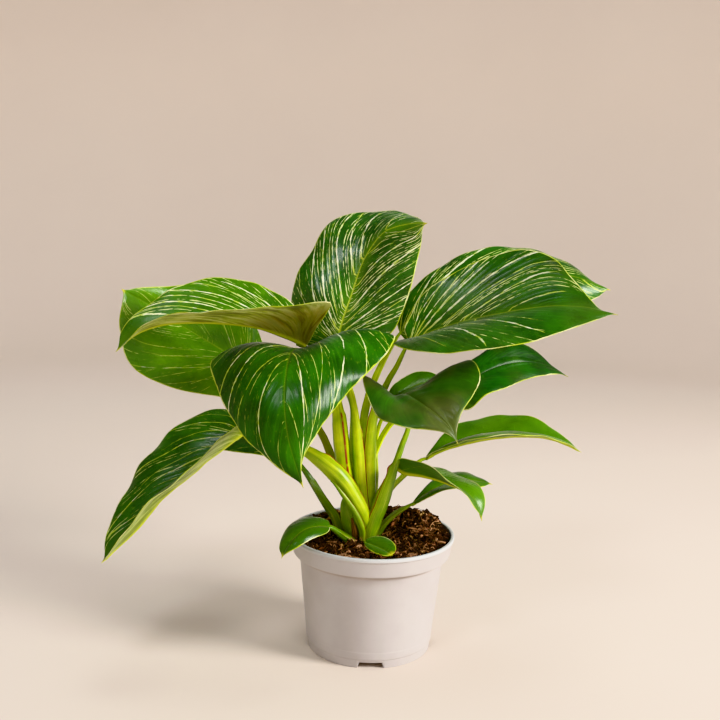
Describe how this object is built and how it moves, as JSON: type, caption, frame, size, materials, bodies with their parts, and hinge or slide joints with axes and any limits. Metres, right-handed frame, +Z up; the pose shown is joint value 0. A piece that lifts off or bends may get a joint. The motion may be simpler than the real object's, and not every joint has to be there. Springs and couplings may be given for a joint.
{
  "type": "potted philodendron birkin",
  "caption": "House plant with glossy cream-striped leaves on upright petioles, growing in soil in a round grey nursery pot that stands on a notched foot ring.",
  "frame": {"origin": "middle of the object's box at the plane on which the pot's foot ring stands, which is the pot's own axis to within a few millimetres", "axes": "+Z up along the pot's axis, +X to the right along the widest spread of the leaves, +Y from the front to the back along the narrowest spread"},
  "size_m": [0.3655, 0.1785, 0.3157],
  "materials": {
    "pot": "satin, moulded, warm light grey",
    "soil": "rough, crumbly, dark brown peat and bark",
    "crown": "satin, yellow-green fading to brown at the foot",
    "sheath": "satin, light green with a thin dry edge",
    "dry_sheath": "matt, papery, brown",
    "petiole": "satin, yellow-green with darker fine lines and red-brown wing edges",
    "leaf_striped": "glossy, waxy, deep green with cream stripes along the side veins",
    "leaf_plain": "glossy, waxy, deep green with a pale margin and few stripes"
  },
  "bodies": {
    "root": {"pot": "pot", "soil": "soil", "crown": "crown", "sheath_front": "sheath", "sheath_left": "sheath", "sheath_dry": "dry_sheath", "petiole_low_left": "petiole", "petiole_front_right": "petiole", "petiole_rim_left": "petiole", "petiole_rim_front": "petiole", "petiole_tucked_left": "petiole", "petiole_base_right": "petiole", "petiole_top": "petiole", "petiole_upper_right": "petiole", "petiole_front_left": "petiole", "petiole_back_left": "petiole", "petiole_twisted": "petiole", "petiole_low_right": "petiole", "petiole_upper_left": "petiole", "petiole_mid_right": "petiole", "petiole_back_right": "petiole", "petiole_small_back": "petiole", "blade_low_left": "leaf_striped", "blade_top": "leaf_striped", "blade_upper_right": "leaf_striped", "blade_front_left": "leaf_striped", "blade_back_left": "leaf_striped", "blade_upper_left": "leaf_striped", "blade_back_right": "leaf_striped", "blade_front_right": "leaf_plain", "blade_rim_left": "leaf_plain", "blade_rim_front": "leaf_plain", "blade_tucked_left": "leaf_plain", "blade_base_right": "leaf_plain", "blade_twisted": "leaf_plain", "blade_low_right": "leaf_plain", "blade_mid_right": "leaf_plain", "blade_small_back": "leaf_plain"}
  },
  "joints": []
}
